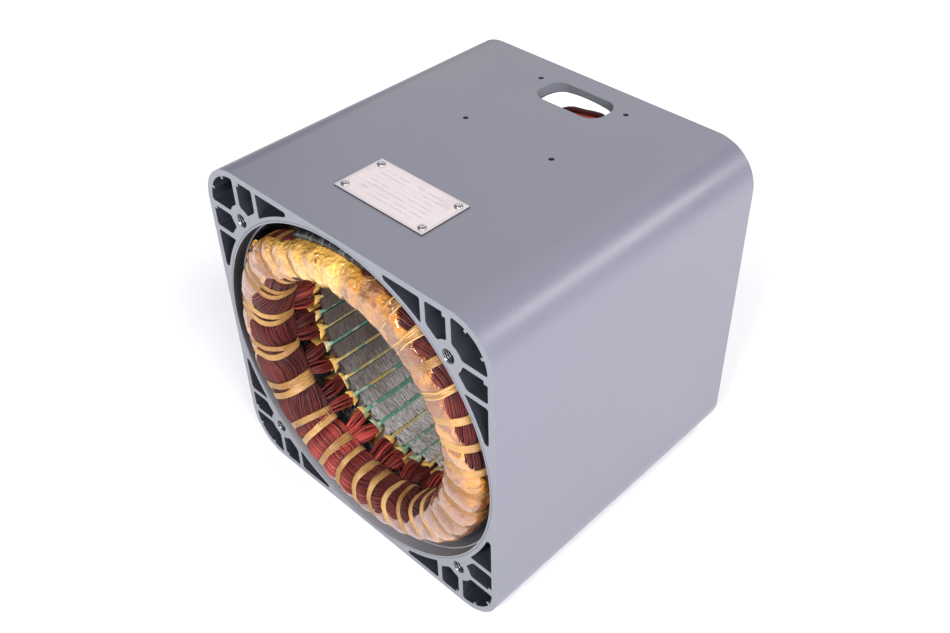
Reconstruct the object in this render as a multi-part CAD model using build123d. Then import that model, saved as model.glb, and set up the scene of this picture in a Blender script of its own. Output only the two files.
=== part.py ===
from build123d import *
import os
from math import cos, radians, sin, sqrt, tan

# Stator of a square-frame electric motor, in millimetres.
# The bore runs along Y with the open winding end at -Y, and the flat bottom lies on Z = 0.

# Housing extrusion
housing_width = 260.0
housing_length = 250.0
corner_radius = 32.0
skin = 4.5
register_step = 1.0
register_depth = 9.0
ring_wall = 5.2
web_thickness = 3.9
boss_web_shift = 1.2
inner_web_step = 19.0
pad_rise = 4.3
chamber_chamfer = 1.2
tip_width = 3.4
rib_width = 2.0
rib_height = 2.2
rib_angle = 25.5
step_width = 2.6
step_height = 3.0

# Corner bosses, cored for the end-shield screws
boss_radius = 11.0
boss_stand = 4.65
shield_hole_radius = 5.0

# Terminal box seat on the top face, set out from the rear end
terminal_inset = 62.0
terminal_spacing_x = 77.0
terminal_spacing_y = 76.5
terminal_hole_radius = 2.1
terminal_hole_depth = 5.0
cable_inset = 31.7
cable_width = 57.6
cable_length = 28.7
cable_corner_radius = 11.5

# Nameplate and its rivets, set out from the front end
plate_inset = 56.0
plate_shift = -0.8
plate_width = 79.0
plate_length = 40.0
plate_thickness = 0.8
rivet_inset = 5.0
rivet_head_radius = 2.8
rivet_head_height = 1.5

# Laminated core
core_length = 125.0
core_setback = 43.3
core_clearance = 0.1
back_iron = 19.5
slot_depth = 25.0
slot_count = 36
tooth_width = 7.2
tooth_lip = 1.2
tooth_shoulder = 2.0
slot_mouth_width = 3.0

# Slot insulation and the wire in the slots
fit_clearance = 0.15
wedge_height = 1.6
wedge_overhang = 7.0
liner_thickness = 0.5
cuff_length = 8.0

# Winding overhang, which stands proud of the housing's front face
slots_per_head = 3
overhang_proud = 4.5
head_depth = 32.0
head_bore_clearance = 2.0
head_wall_clearance = 6.5
head_chamfer = 10.0
head_gap = 0.4
lacing_thickness = 0.9
lacing_width = 4.6

# One overrun serves every cut
overrun = 2.0

# Edge ends this share of a chamfer apart meet, and at a corner if their cosine is under the other
meeting_share = 0.001
tangent_share = 0.995

# Places worked out from the sizes above
axis_height = housing_width / 2
front_y = -housing_length / 2
rear_y = housing_length / 2
register_radius = axis_height - skin
core_bore_radius = register_radius - register_step
ring_radius = core_bore_radius + ring_wall
boss_place = (ring_radius + boss_stand) / sqrt(2)
boss_web_place = boss_place + boss_web_shift
inner_web_place = boss_place - inner_web_step
tip_place = sqrt(ring_radius**2 - (register_radius - tip_width) ** 2)
plate_centre = (plate_shift, front_y + plate_inset)
rivet_spacing_x = plate_width - 2 * rivet_inset
rivet_spacing_y = plate_length - 2 * rivet_inset
terminal_centre = (0, rear_y - terminal_inset)
cable_centre = (0, rear_y - cable_inset)
core_front_y = front_y + core_setback
core_rear_y = core_front_y + core_length
core_outer_radius = core_bore_radius - core_clearance
slot_bottom_radius = core_bore_radius - back_iron
core_inner_radius = slot_bottom_radius - slot_depth
lip_radius = core_inner_radius + tooth_lip
shoulder_radius = lip_radius + tooth_shoulder
wedge_top_radius = shoulder_radius + fit_clearance + wedge_height
wire_low_radius = wedge_top_radius + fit_clearance
wire_inset = fit_clearance + liner_thickness + fit_clearance
slot_pitch = 360 / slot_count
half_pitch = radians(slot_pitch / 2)
head_count = slot_count // slots_per_head
head_inner_radius = core_inner_radius + head_bore_clearance
head_outer_radius = core_bore_radius - head_wall_clearance
overhang_length = core_setback + overhang_proud
phases = ("a", "b", "c")
ends = ("front", "rear")

bore_axis = Axis((0, 0, axis_height), (0, -1, 0))
radial_plane = Plane(origin=(0, 0, axis_height), x_dir=(0, 0, 1), z_dir=(-1, 0, 0))
top_plane = Plane.XY.offset(housing_width)


def station(y):
    """Plane across the bore at y, with X to the right and Z up."""
    return Plane(origin=(0, y, axis_height), x_dir=(1, 0, 0), z_dir=(0, -1, 0))


def prism(profile, y_front, y_back):
    """Profile drawn about the bore axis, run from y_front to y_back."""
    return extrude(station(y_back) * profile, amount=y_back - y_front)


def polygon(points):
    """Flat face through the points of a closed outline."""
    return make_face(Polyline(points, close=True))


def about_bore(shape, angle):
    """Shape turned about the bore axis, counter-clockwise seen from the front."""
    return shape.rotate(bore_axis, angle)


def sharp_corners(face):
    """Vertices of a face where two edges meet at an angle."""
    corners = []
    for vertex in face.vertices():
        point = vertex.center()
        ways = []
        for edge in face.edges():
            start_gap = (edge.position_at(0) - point).length
            end_gap = (edge.position_at(1) - point).length
            if start_gap < chamber_chamfer * meeting_share:
                ways.append(edge.tangent_at(0))
            elif end_gap < chamber_chamfer * meeting_share:
                ways.append(edge.tangent_at(1) * -1)
        if len(ways) == 2 and abs(ways[0].dot(ways[1])) < tangent_share:
            corners.append(vertex)
    return corners


def corner_metal():
    """Ring, boss and webs that divide one corner of the extrusion, solid past the blunt tips of its chambers."""
    pad_field = Rectangle(housing_width, housing_width, align=(Align.MIN, Align.MIN))
    tip_field = Rectangle(2 * tip_place, 2 * housing_width)
    metal = Circle(ring_radius) + tip_field + Rot(0, 0, 90) * tip_field
    metal += Circle(ring_radius + pad_rise) & Pos(inner_web_place, inner_web_place) * pad_field
    metal += Pos(boss_place, boss_place) * Circle(boss_radius)
    for place in (boss_web_place, inner_web_place):
        metal += Pos(place, 0) * Rectangle(web_thickness, housing_width)
        metal += Pos(0, place) * Rectangle(housing_width, web_thickness)
    return metal


def corner_ribs():
    """Small ribs of the die on the corner arc, and steps beside the boss webs."""
    arc_place = axis_height - corner_radius
    arc_radius = corner_radius - skin
    rib = Pos(arc_radius, 0) * Rectangle(2 * rib_height, rib_width)
    step = Rectangle(step_width, step_height, align=(Align.MAX, Align.MAX))
    web_side = boss_web_place - web_thickness / 2
    ribs = [Pos(arc_place, arc_place) * Rot(0, 0, angle) * rib for angle in (rib_angle, 90 - rib_angle)]
    ribs.append(Pos(web_side, axis_height - skin) * step)
    ribs.append(Pos(axis_height - skin, web_side) * Rot(0, 0, -90) * mirror(step, Plane.YZ))
    return ribs


def chambers():
    """Open chambers of one corner, between the ring, the skin and the webs."""
    inner_width = housing_width - 2 * skin
    field = RectangleRounded(inner_width, inner_width, corner_radius - skin)
    quadrant = Rectangle(housing_width, housing_width, align=(Align.MIN, Align.MIN))
    openings = []
    for face in (field & quadrant - corner_metal()).faces():
        opening = face.chamfer_2d(chamber_chamfer, chamber_chamfer, sharp_corners(face))
        for rib in corner_ribs():
            opening -= rib
        openings.append(opening)
    return openings


def housing():
    """Webbed square extrusion with its registers, cored bosses and cable opening."""
    profile = RectangleRounded(housing_width, housing_width, corner_radius) - Circle(core_bore_radius)
    for place in GridLocations(2 * boss_place, 2 * boss_place, 2, 2):
        profile -= place * Circle(shield_hole_radius)
    for opening in chambers():
        for turn in range(4):
            profile -= Rot(0, 0, 90 * turn) * opening
    body = prism(profile, front_y, rear_y)
    body -= prism(Circle(register_radius), front_y - overrun, front_y + register_depth)
    body -= prism(Circle(register_radius), rear_y - register_depth, rear_y + overrun)

    seat = top_plane * Pos(*terminal_centre)
    hole = Cylinder(terminal_hole_radius, 2 * terminal_hole_depth)
    for place in GridLocations(terminal_spacing_x, terminal_spacing_y, 2, 2):
        body -= seat * place * hole
    cable = Pos(*cable_centre) * RectangleRounded(cable_width, cable_length, cable_corner_radius)
    body -= extrude(top_plane.offset(overrun) * cable, amount=-axis_height)
    return body


def nameplate():
    """Thin bare plate lying on the top face."""
    return extrude(top_plane * Pos(*plate_centre) * Rectangle(plate_width, plate_length), amount=plate_thickness)


def rivet_head():
    """Low round head of a rivet."""
    return Cylinder(rivet_head_radius, rivet_head_height, align=(Align.CENTER, Align.CENTER, Align.MIN))


def slot_half_width(radius):
    """Half the slot's width at a distance up its centre line, beside teeth with parallel sides."""
    return radius * tan(half_pitch) - tooth_width / (2 * cos(half_pitch))


def slot_section(low_radius, inset):
    """Slot section above low_radius with its sides and bottom drawn in by inset."""
    top = slot_bottom_radius - inset
    low_half = slot_half_width(low_radius) - inset
    top_half = slot_half_width(top) - inset
    return polygon([(-low_half, low_radius), (low_half, low_radius), (top_half, top), (-top_half, top)])


def slot_cut():
    """Whole slot with its narrow mouth, sloped shoulders and flat bottom."""
    mouth = slot_mouth_width / 2
    shoulder = slot_half_width(shoulder_radius)
    throat = polygon(
        [
            (-mouth, core_inner_radius - overrun),
            (mouth, core_inner_radius - overrun),
            (mouth, lip_radius),
            (shoulder, shoulder_radius),
            (-shoulder, shoulder_radius),
            (-mouth, lip_radius),
        ]
    )
    return throat + slot_section(shoulder_radius, 0)


def stator_core():
    """Stack of slotted laminations, as one ring with semi-closed slots."""
    profile = Circle(core_outer_radius) - Circle(core_inner_radius)
    cut = slot_cut()
    for index in range(slot_count):
        profile -= Rot(0, 0, slot_pitch * index) * cut
    return prism(profile, core_front_y, core_rear_y)


def in_slots(piece, indices):
    """Copies of a piece from the top slot, turned into the slots listed."""
    return Compound(children=[about_bore(piece, slot_pitch * index) for index in indices])


def slot_liner():
    """Folded paper liner round the wire of the top slot, with a cuff past each core face."""
    outer = slot_section(wire_low_radius, fit_clearance)
    inner = slot_section(wire_low_radius - overrun, fit_clearance + liner_thickness)
    return prism(outer - inner, core_front_y - cuff_length, core_rear_y + cuff_length)


def slot_wedge():
    """Strip that closes the mouth of the top slot."""
    mouth = slot_mouth_width / 2
    low = lip_radius + fit_clearance
    middle = shoulder_radius + fit_clearance
    middle_half = slot_half_width(middle) - fit_clearance
    top_half = slot_half_width(wedge_top_radius) - fit_clearance
    section = polygon(
        [
            (-mouth, low),
            (mouth, low),
            (middle_half, middle),
            (top_half, wedge_top_radius),
            (-top_half, wedge_top_radius),
            (-middle_half, middle),
        ]
    )
    return prism(section, core_front_y - wedge_overhang, core_rear_y + wedge_overhang)


def coil_side():
    """Bundle of wire inside the top slot, from one core face to the other."""
    return prism(slot_section(wire_low_radius, wire_inset), core_front_y, core_rear_y)


def phase_slots(phase):
    """Slots of one phase: every third group of neighbouring slots."""
    first = phases.index(phase)
    return [i for i in range(slot_count) if (i // slots_per_head) % len(phases) == first]


def head_section(end, growth):
    """Section of the overhang in radius and Y, with its two rim corners cut off, grown outwards."""
    face_y, way = core_face(end)
    low = head_inner_radius - growth
    high = head_outer_radius + growth
    near = overhang_length - head_depth - growth
    far = overhang_length + growth
    cut = head_chamfer + growth * (2 - sqrt(2))
    outline = [(low, near), (high, near), (high, far - cut), (high - cut, far), (low + cut, far), (low, far - cut)]
    return [(radius, face_y + way * depth) for radius, depth in outline]


def core_face(end):
    """Core face and outward direction of one end."""
    if end == "front":
        return core_front_y, -1
    return core_rear_y, 1


def wedge_field(half_angle, apex):
    """Sector about the top slot's centre line, out past the overhang, from apex above the bore axis."""
    reach = head_outer_radius + overrun
    half = (reach - apex) * tan(half_angle)
    return prism(polygon([(0, apex), (half, reach), (-half, reach)]), 2 * front_y, 2 * rear_y)


def head_run(end):
    """Straight run of the overhang over the top slot, with the leg that rises from the slot."""
    face_y, way = core_face(end)
    flat_share = cos(half_pitch)
    outline = [(radius * flat_share, y) for radius, y in head_section(end, 0)]
    run = extrude(radial_plane * polygon(outline), amount=head_outer_radius * tan(half_pitch), both=True)
    run &= wedge_field(half_pitch, 0)
    leg_end = face_y + way * (overhang_length - head_depth / 2)
    return run + prism(slot_section(wire_low_radius, wire_inset), min(face_y, leg_end), max(face_y, leg_end))


def coil_head(end, number):
    """One coil group's end turns, a run for each of its slots, parted from its neighbours."""
    run = head_run(end)
    half_span = slot_pitch * slots_per_head / 2
    middle = half_span - slot_pitch / 2
    head = run
    for index in range(1, slots_per_head):
        head += about_bore(run, slot_pitch * index)
    field = wedge_field(radians(half_span), head_gap / 2 / sin(radians(half_span)))
    head &= about_bore(field, middle)
    return about_bore(head, 2 * half_span * number)


def lacing(end):
    """Cord loops round the overhang, one over each tooth, where two runs meet."""
    stand = fit_clearance + lacing_width / 2 * tan(half_pitch)
    section = polygon(head_section(end, stand + lacing_thickness)) - polygon(head_section(end, stand))
    loop = extrude(radial_plane * section, amount=lacing_width / 2, both=True)
    return in_slots(about_bore(loop, slot_pitch / 2), range(slot_count))


def all_pieces():
    """Every named piece of the stator."""
    pieces = {"housing": housing(), "stator_core": stator_core(), "nameplate": nameplate()}
    plate_top = top_plane.offset(plate_thickness) * Pos(*plate_centre)
    for number, place in enumerate(GridLocations(rivet_spacing_x, rivet_spacing_y, 2, 2), start=1):
        pieces[f"nameplate_rivet_{number}"] = plate_top * place * rivet_head()
    pieces["slot_liners"] = in_slots(slot_liner(), range(slot_count))
    pieces["slot_wedges"] = in_slots(slot_wedge(), range(slot_count))
    for phase in phases:
        pieces[f"coil_sides_phase_{phase}"] = in_slots(coil_side(), phase_slots(phase))
    for end in ends:
        for number in range(head_count):
            pieces[f"{end}_coil_head_{number + 1:02d}"] = coil_head(end, number)
        pieces[f"{end}_lacing"] = lacing(end)
    return pieces


os.makedirs("parts", exist_ok=True)
for name, piece in all_pieces().items():
    export_step(piece, f"parts/{name}.step")
    print(name, round(piece.volume))
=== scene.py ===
# %% [markdown]
# A motor stator is a square aluminium extrusion with a slotted steel core pressed into its bore,
# and coils of enamelled copper wire that fill the slots and stand out at both ends as a laced ring.
# The solid parts arrive as a fixed frame at their real size, in metres. This lesson gives them their
# finishes and models what solids can't show: the single wires, the cord, the paper and the varnish.

# %% Load the frame
import math
import random

import bmesh
import bpy
from mathutils import Matrix, Vector
from mathutils import noise as mathutils_noise


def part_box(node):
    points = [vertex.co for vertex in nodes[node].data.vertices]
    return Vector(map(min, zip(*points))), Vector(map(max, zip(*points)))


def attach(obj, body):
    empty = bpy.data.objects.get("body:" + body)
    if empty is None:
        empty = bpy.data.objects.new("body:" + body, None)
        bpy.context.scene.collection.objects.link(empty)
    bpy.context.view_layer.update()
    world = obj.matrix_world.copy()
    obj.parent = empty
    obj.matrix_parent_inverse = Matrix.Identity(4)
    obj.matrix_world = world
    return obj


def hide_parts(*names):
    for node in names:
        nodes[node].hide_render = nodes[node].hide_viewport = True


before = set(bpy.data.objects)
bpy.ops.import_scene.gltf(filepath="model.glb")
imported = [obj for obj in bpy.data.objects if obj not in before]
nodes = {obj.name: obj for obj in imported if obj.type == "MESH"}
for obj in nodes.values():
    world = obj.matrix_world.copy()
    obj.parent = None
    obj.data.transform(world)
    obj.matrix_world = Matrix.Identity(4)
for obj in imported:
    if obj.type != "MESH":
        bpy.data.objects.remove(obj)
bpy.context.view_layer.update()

MM = 0.001
print("nodes in the frame:", len(nodes))

# %% [markdown]
# Everything in the winding goes round the bore, so places are easiest to give as a radius, an angle
# from the top and a depth in front of the core. The frame's own boxes give the sizes to start from.

# %% Places round the bore
housing_low, housing_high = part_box("housing")
core_low, core_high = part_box("stator_core")
axis_z = (housing_low.z + housing_high.z) / 2
half_width = housing_high.x
half_length = housing_high.y
slot_count = 36
slot_pitch = 360 / slot_count
head_count = 12
slots_per_head = slot_count // head_count
core_faces = {"front": (core_low.y, -1), "rear": (core_high.y, 1)}


def around(radius, degrees, y):
    """Point at a radius from the bore axis, turned from the top, counter-clockwise seen from the front."""
    turn = math.radians(degrees)
    return Vector((-radius * math.sin(turn), y, axis_z + radius * math.cos(turn)))


def out_from_core(end, depth):
    """Y at a depth outside the core face of one end."""
    face_y, way = core_faces[end]
    return face_y + way * depth


def angle_of(point):
    """Turn of a point round the bore axis, as around takes it."""
    return math.degrees(math.atan2(-point.x, point.z - axis_z))


def turn_from(centre, degrees):
    """Turn from one angle to another, the short way round."""
    return (degrees - centre + 180) % 360 - 180


def eased(share):
    """Share from 0 to 1 with a gentle start and end."""
    return share * share * (3 - 2 * share)


def interval(values, value):
    """Index of the first of the rising values that reaches a value, and the share of the way to it."""
    index = 1
    while values[index] < value:
        index += 1
    return index, (value - values[index - 1]) / (values[index] - values[index - 1])


face_places = {end: round(y / MM, 1) for end, (y, way) in core_faces.items()}
print("bore axis at", round(axis_z / MM, 2), "mm, core faces at", face_places)

# %% [markdown]
# The camera comes first, because everything else is judged through it. It stands to the right of the
# open end and looks down at it. Its place was worked out from the outline of the square housing: a
# turn, a height and a distance from the middle of the box, with a lens of nearly normal length.

# %% Camera
image_width, image_height = 950, 633
camera_turn = math.radians(43.16)
camera_height = math.radians(39.649)
camera_roll = math.radians(-0.146)
camera_distance = 0.77932
camera_side = 0.016995
camera_rise = 0.003017
focal_pixels = 1081.055
optical_centre = (507.761, 302.902)

back = Vector((
    math.sin(camera_turn) * math.cos(camera_height),
    -math.cos(camera_turn) * math.cos(camera_height),
    math.sin(camera_height),
))
right = Vector((math.cos(camera_turn), math.sin(camera_turn), 0))
up = back.cross(right)
middle = Vector((0, 0, axis_z))
place = middle + back * camera_distance + right * camera_side + up * camera_rise
right_rolled = right * math.cos(camera_roll) + up * math.sin(camera_roll)
up_rolled = up * math.cos(camera_roll) - right * math.sin(camera_roll)

camera_data = bpy.data.cameras.new("camera")
camera_data.sensor_width = 36
camera_data.lens = focal_pixels / image_width * camera_data.sensor_width
camera_data.shift_x = (image_width / 2 - optical_centre[0]) / image_width
camera_data.shift_y = (optical_centre[1] - image_height / 2) / image_width
camera_data.clip_start = 0.01
camera = bpy.data.objects.new("camera", camera_data)
bpy.context.scene.collection.objects.link(camera)
axes = Matrix((right_rolled, up_rolled, back)).transposed().to_4x4()
camera.matrix_world = Matrix.Translation(place) @ axes
bpy.context.scene.camera = camera
print("camera at", [round(c, 3) for c in place], "lens", round(camera_data.lens, 2))

# %% [markdown]
# A finish is a small graph of nodes. These helpers start one and add its nodes, so that each finish below
# reads as a short recipe. A socket knows the tree that it belongs to, so a recipe names the tree only
# where it starts. All patterns read Object coordinates: the pieces sit at the origin, so a coordinate is
# a real place on the part in metres.

# %% Helpers for finishes
def finish(name, color=(0.5, 0.5, 0.5), roughness=0.5, metallic=0.0, coat=0.0):
    """New material with its node tree and its shader, set to plain starting values."""
    material = bpy.data.materials.new(name)
    material.use_nodes = True
    shader = material.node_tree.nodes["Principled BSDF"]
    shader.inputs["Base Color"].default_value = (*color, 1)
    shader.inputs["Roughness"].default_value = roughness
    shader.inputs["Metallic"].default_value = metallic
    shader.inputs["Coat Weight"].default_value = coat
    return material, material.node_tree, shader


def give(shader, name, socket):
    """Lets a socket drive one input of a shader."""
    socket.id_data.links.new(socket, shader.inputs[name])


def add(tree, kind, links=None, **values):
    """Node of a kind, with inputs set from values and links by socket name."""
    node = tree.nodes.new(kind)
    for key, value in values.items():
        node.inputs[key.replace("_", " ")].default_value = value
    for key, socket in (links or {}).items():
        tree.links.new(socket, node.inputs[key])
    return node


def object_place(tree, scale=None, turn=None):
    """Object coordinates, stretched or turned by a mapping if asked."""
    coordinates = add(tree, "ShaderNodeTexCoord").outputs["Object"]
    if scale is None and turn is None:
        return coordinates
    mapping = add(tree, "ShaderNodeMapping", {"Vector": coordinates})
    mapping.inputs["Scale"].default_value = scale or (1, 1, 1)
    mapping.inputs["Rotation"].default_value = turn or (0, 0, 0)
    return mapping.outputs["Vector"]


def axes_of(vector):
    """The X, Y and Z of a vector."""
    return add(vector.id_data, "ShaderNodeSeparateXYZ", {"Vector": vector}).outputs


def attribute(tree, name):
    """Number kept at each point of a piece."""
    node = add(tree, "ShaderNodeAttribute")
    node.attribute_name = name
    return node.outputs["Fac"]


def noise(vector, scale, detail=3.0, roughness=0.55):
    """Value of a noise pattern."""
    links = {"Vector": vector}
    values = {"Scale": scale, "Detail": detail, "Roughness": roughness}
    return add(vector.id_data, "ShaderNodeTexNoise", links, **values).outputs["Fac"]


print("places, attributes and noise ready")

# %% [markdown]
# Arithmetic on sockets is one Math node a step, and a smooth step is one Map Range node. Colours are
# mixed by a factor, and bump turns a height into a tilt of the surface.

# %% Sums, steps and mixes
def sum_of(operation, first, second=None):
    """Result of one arithmetic step on a socket and a socket or number."""
    node = add(first.id_data, "ShaderNodeMath")
    node.operation = operation
    first.id_data.links.new(first, node.inputs[0])
    if isinstance(second, (int, float)):
        node.inputs[1].default_value = second
    elif second is not None:
        first.id_data.links.new(second, node.inputs[1])
    return node.outputs[0]


def plus(first, second):
    """Sum of two values."""
    return sum_of("ADD", first, second)


def minus(first, second):
    """Difference of two values."""
    return sum_of("SUBTRACT", first, second)


def times(first, second):
    """Product of two values."""
    return sum_of("MULTIPLY", first, second)


def gap(first, second):
    """Distance between two values."""
    return sum_of("ABSOLUTE", minus(first, second))


def fade(value, low, high, start=0.0, end=1.0):
    """Smooth step of a value from low to high."""
    node = add(value.id_data, "ShaderNodeMapRange", {"Value": value})
    node.interpolation_type = "SMOOTHSTEP"
    for key, number in zip(("From Min", "From Max", "To Min", "To Max"), (low, high, start, end)):
        node.inputs[key].default_value = number
    return node.outputs["Result"]


def near(value, centre, half):
    """One within half of a centre, with a soft edge, and none outside."""
    return fade(gap(value, centre), half * 0.9, half * 1.1, 1, 0)


def mixed(factor, first, second):
    """Colour between two colours or colour sockets."""
    tree = factor.id_data
    node = add(tree, "ShaderNodeMix")
    node.data_type = "RGBA"
    tree.links.new(factor, node.inputs["Factor"])
    for slot, value in ((6, first), (7, second)):
        if isinstance(value, tuple):
            node.inputs[slot].default_value = (*value, 1)
        else:
            tree.links.new(value, node.inputs[slot])
    return node.outputs[2]


def bump(shader, height, strength, distance):
    """Bump from a height socket on a shader's normal."""
    node = add(height.id_data, "ShaderNodeBump", {"Height": height}, Strength=strength, Distance=distance)
    give(shader, "Normal", node.outputs["Normal"])


print("sums, steps and mixes ready")

# %% [markdown]
# A studio photograph of a part has a pale sweep under it. A plane is enough for the floor, with a finish
# that glows a little far from the part, as a sweep lit from below does.

# %% Floor
floor_half = 6.0
glow_near = 0.3
glow_far = 0.8
glow_most = 0.45


def pale_floor():
    """Flat floor under the part, brighter far from it."""
    bm = bmesh.new()
    bmesh.ops.create_grid(bm, x_segments=1, y_segments=1, size=floor_half)
    mesh = bpy.data.meshes.new("floor")
    bm.to_mesh(mesh)
    bm.free()
    material, tree, shader = finish("floor_white", (0.93, 0.93, 0.94), 0.9)
    shader.inputs["Emission Color"].default_value = (1, 1, 1, 1)
    distance = add(tree, "ShaderNodeVectorMath", {0: object_place(tree)})
    distance.operation = "LENGTH"
    glow = add(
        tree, "ShaderNodeMapRange", {"Value": distance.outputs["Value"]},
        From_Min=glow_near, From_Max=glow_far, To_Max=glow_most,
    )
    give(shader, "Emission Strength", glow.outputs["Result"])
    mesh.materials.append(material)
    floor = bpy.data.objects.new("floor", mesh)
    bpy.context.scene.collection.objects.link(floor)
    return floor


floor = pale_floor()
print("floor", 2 * floor_half, "m wide")

# %% [markdown]
# Area lights make soft shadows and long highlights. The key stands at the right, a wide light over
# the rear lifts the top, a small one in front picks out the winding, and a small one at the rear right
# draws the streak along the rounded edge. A pale surround fills the rest.

# %% Light
def soft_light(name, position, size, watts):
    """Square area light aimed at the middle of the part."""
    data = bpy.data.lights.new(name, "AREA")
    data.size = size
    data.energy = watts
    light = bpy.data.objects.new(name, data)
    light.location = position
    light.rotation_euler = (middle - Vector(position)).to_track_quat("-Z", "Y").to_euler()
    bpy.context.scene.collection.objects.link(light)


world = bpy.data.worlds.new("studio")
world.use_nodes = True
surround = world.node_tree.nodes["Background"]
surround.inputs["Color"].default_value = (0.93, 0.95, 1.0, 1)
surround.inputs["Strength"].default_value = 0.42
bpy.context.scene.world = world
bpy.context.scene.view_settings.view_transform = "Standard"

soft_light("key", (1.6, -0.55, 0.8), 0.9, 30)
soft_light("top", (-0.9, 1.5, 1.5), 2.2, 16)
soft_light("front", (0.5, -1.4, 1.25), 0.4, 25)
soft_light("edge", (1.25, 1.12, 1.15), 0.4, 10)

# %% [markdown]
# The housing is painted outside, sawn bare at its two ends and turned in its bore, bright below its axis. Its
# chambers and the upper half of its bore are painted near black, as painted shade. One finish can do it all:
# the shape of the rounded square, written as a distance, tells the painted skin from the inside, the radius
# tells the bore, and the Y coordinate tells the sawn ends.

# %% Housing as distances
corner_radius = 32 * MM
skin_band = 0.8 * MM
end_band = 0.15 * MM


def square_distance(axes):
    """How far a point is outside the square of the corner centres: the corner radius all over the skin."""
    straight = half_width - corner_radius
    across = minus(sum_of("ABSOLUTE", axes["X"]), straight)
    rise = minus(gap(axes["Z"], axis_z), straight)
    outer_x = sum_of("MAXIMUM", across, 0)
    outer_z = sum_of("MAXIMUM", rise, 0)
    squares = plus(sum_of("POWER", outer_x, 2), sum_of("POWER", outer_z, 2))
    inner = sum_of("MINIMUM", sum_of("MAXIMUM", across, rise), 0)
    return plus(sum_of("SQRT", squares), inner)


def bore_distance(axes):
    """Distance from the bore axis."""
    rise = sum_of("POWER", minus(axes["Z"], axis_z), 2)
    return sum_of("SQRT", plus(sum_of("POWER", axes["X"], 2), rise))


def nicks(tree):
    """A few small marks, one in some of the cells of a coarse pattern."""
    vector = object_place(tree, (1, 0.5, 1), (0.4, 0.3, 0.8))
    cells = add(tree, "ShaderNodeTexVoronoi", {"Vector": vector}, Scale=22)
    chosen = fade(cells.outputs["Color"], 0.62, 0.66)
    return times(fade(cells.outputs["Distance"], 0.02, 0.035, 1, 0), chosen)


print("straight sides", round(2 * (half_width - corner_radius) / MM, 1), "mm between round corners")

# %% [markdown]
# With those distances the finish is a stack of mixes, each laid over the last. The paint is satin, with a
# slight orange peel, a few specks and nicks, and the turned bore keeps the rings that the tool left. Painted
# shade darkens the chambers and the bore above its axis.

# %% Housing finish
bore_radius = 126.2 * MM
bore_edge = 0.6 * MM
rim_line = (126.9 * MM, 0.35 * MM)
step_line = (half_length - 8.8 * MM, 0.35 * MM)
tool_line = (half_length - 12.4 * MM, 0.25 * MM)
cable_y = 93.3 * MM
cable_half = (31 * MM, 16.5 * MM)
cable_depths = (2 * axis_z - 9 * MM, 2 * axis_z - 7 * MM)


def housing_finish():
    """Satin grey paint outside, sawn metal at the ends, turned metal in the bore, and painted shade in the
    chambers and the upper bore.
    """
    material, tree, shader = finish("housing_paint", roughness=0.42)
    place = object_place(tree)
    axes = axes_of(place)
    painted = fade(square_distance(axes), corner_radius - skin_band, corner_radius - skin_band / 2)
    length = sum_of("ABSOLUTE", axes["Y"])
    sawn = fade(length, half_length - end_band, half_length - end_band / 2)
    radius = bore_distance(axes)
    bored = fade(radius, bore_radius, bore_radius + bore_edge, 1, 0)

    blotch = noise(place, 9, 4)
    paint = mixed(blotch, (0.141, 0.139, 0.178), (0.164, 0.161, 0.202))
    specks = fade(noise(place, 420, 1), 0.775, 0.80, 0, 0.6)
    paint = mixed(specks, paint, (0.30, 0.30, 0.34))
    marks = nicks(tree)
    paint = mixed(marks, paint, (0.06, 0.062, 0.08))

    saw_lines = noise(object_place(tree, (60, 60, 900), (0, 0.6, 0)), 4, 3)
    metal = mixed(saw_lines, (0.165, 0.17, 0.20), (0.235, 0.24, 0.275))
    metal = mixed(near(radius, *rim_line), metal, (0.09, 0.092, 0.11))
    lines = noise(object_place(tree, (3, 700, 3)), 1.0, 2)
    bare = mixed(lines, (0.16, 0.16, 0.175), (0.34, 0.34, 0.365))
    # Painted shade: the bore wall above the axis is painted near black, and the wall below stays bare and
    # bright.
    painted_lit_below = fade(axes["Z"], 0, axis_z, 1, 0)
    turned = mixed(painted_lit_below, mixed(lines, (0.02, 0.02, 0.022), (0.05, 0.05, 0.055)), bare)
    rings = sum_of("MAXIMUM", near(length, *step_line), near(length, *tool_line))
    turned = mixed(rings, turned, (0.30, 0.30, 0.33))
    # Painted shade: the chambers are painted near black.
    inside = mixed(blotch, (0.016, 0.017, 0.024), (0.045, 0.047, 0.06))
    inside = mixed(bored, inside, turned)
    cable = times(near(axes["X"], 0, cable_half[0]), near(axes["Y"], cable_y, cable_half[1]))
    cable = times(cable, fade(axes["Z"], *cable_depths))
    inside = mixed(cable, inside, (0.13, 0.135, 0.16))
    color = mixed(painted, inside, paint)
    color = mixed(sawn, color, metal)
    give(shader, "Base Color", color)

    outside = sum_of("MAXIMUM", painted, sawn)
    give(shader, "Specular IOR Level", fade(outside, 0, 1, 0.08, 0.5))
    peel = noise(place, 900, 2)
    height = plus(times(peel, 0.35), times(saw_lines, sawn))
    height = plus(height, times(specks, 1.5))
    height = minus(height, times(marks, 2.5))
    bump(shader, height, 0.25, 0.12 * MM)
    give(shader, "Roughness", fade(blotch, 0.3, 0.7, 0.30, 0.40))
    return material


def dress(node, material):
    """Gives a node of the frame its finish."""
    nodes[node].data.materials.clear()
    nodes[node].data.materials.append(material)
    print(node, "dressed in", material.name)


dress("housing", housing_finish())

# %% [markdown]
# The core is a stack of thin steel sheets, so its teeth show fine lines across the bore axis. They are far
# too many to model, and a stretched noise along Y gives the uneven edges of the sheets as colour and bump.
# Varnish has run over some teeth and left brown stains. The teeth towards the top left of the bore are
# painted darker brown, as painted shade.

# %% Core finish
sheet_lines = 2300
painted_shade_band = (-60 * MM, 20 * MM)


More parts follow.
